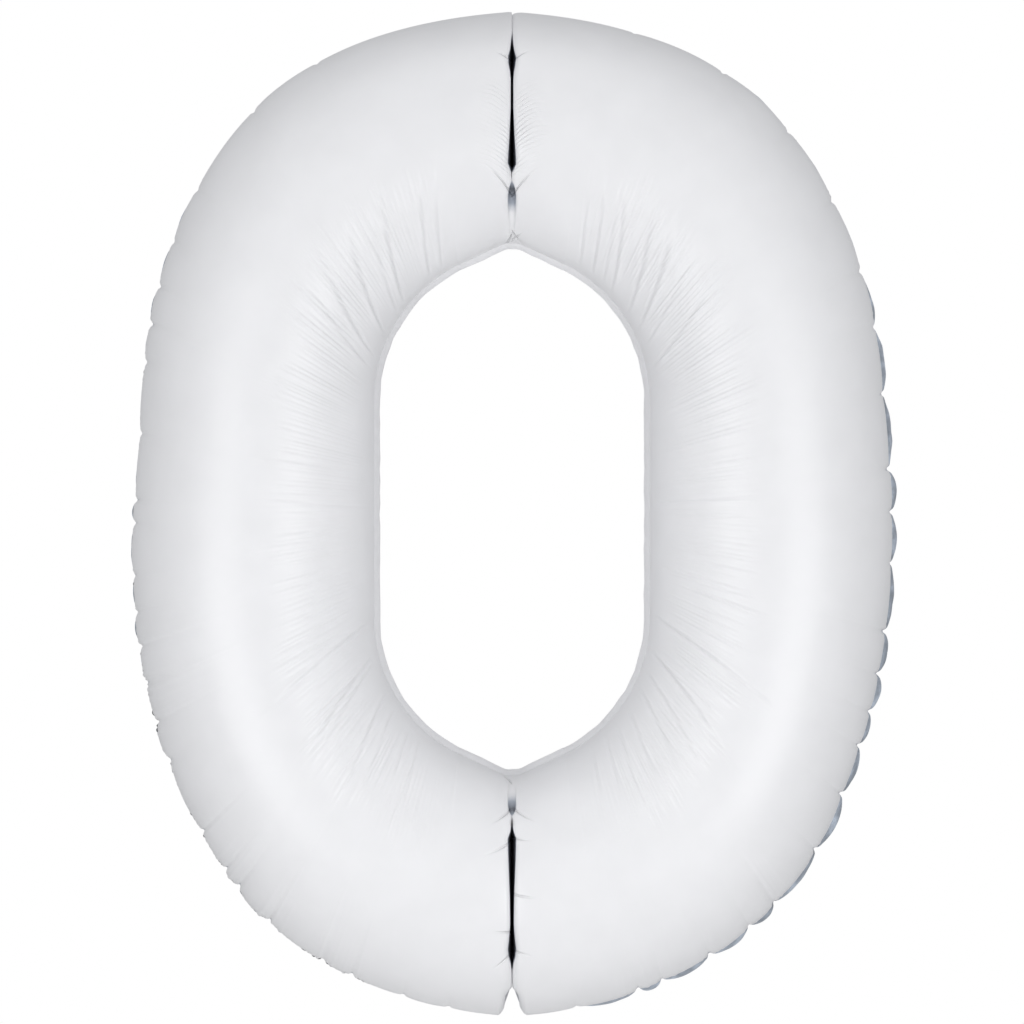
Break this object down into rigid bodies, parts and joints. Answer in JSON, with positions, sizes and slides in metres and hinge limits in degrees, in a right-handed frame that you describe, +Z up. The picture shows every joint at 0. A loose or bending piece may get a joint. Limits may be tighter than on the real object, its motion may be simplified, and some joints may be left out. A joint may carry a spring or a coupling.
{
  "type": "foil number balloon",
  "caption": "Inflated white foil balloon in the shape of a zero, two films welded round the edge, round the hole and across the tube",
  "frame": {"origin": "the top of the outer seam on the centre line, halfway between the films, where a hanging line crosses", "axes": "+Z up the numeral, +Y out of its back, +X to the right as the numeral is read from the front"},
  "size_m": [0.655, 0.2, 0.86],
  "materials": {
    "white_film": "satin white coated foil film",
    "welded_margin": "blue-grey metallised film, heat sealed",
    "valve_ply": "thin milky polyethylene"
  },
  "bodies": {
    "balloon": {"front_film": "white_film", "back_film": "white_film", "outer_seam": "welded_margin", "hole_seam": "white_film", "top_centre_weld": "welded_margin", "bottom_centre_weld": "welded_margin", "valve_front_ply": "valve_ply", "valve_back_ply": "valve_ply"},
    "filling_tail": {"filling_tail_front_ply": "white_film", "filling_tail_back_ply": "white_film"},
    "left_tab": {"hang_tab_left": "white_film"},
    "right_tab": {"hang_tab_right": "white_film"}
  },
  "joints": [
    {"name": "filling_tail_fold", "type": "hinge", "parent": "balloon", "child": "filling_tail", "pos_m": [0.038, 0, -0.8555], "axis": [1, 0, 0], "range_deg": [-110, 0]},
    {"name": "left_tab_fold", "type": "hinge", "parent": "balloon", "child": "left_tab", "pos_m": [-0.09118, 0.00874, -0.01239], "axis": [0.9676, 0, 0.2526], "range_deg": [0, 130]},
    {"name": "right_tab_fold", "type": "hinge", "parent": "balloon", "child": "right_tab", "pos_m": [0.09118, 0.00874, -0.01239], "axis": [0.9676, 0, -0.2526], "range_deg": [0, 130]}
  ]
}
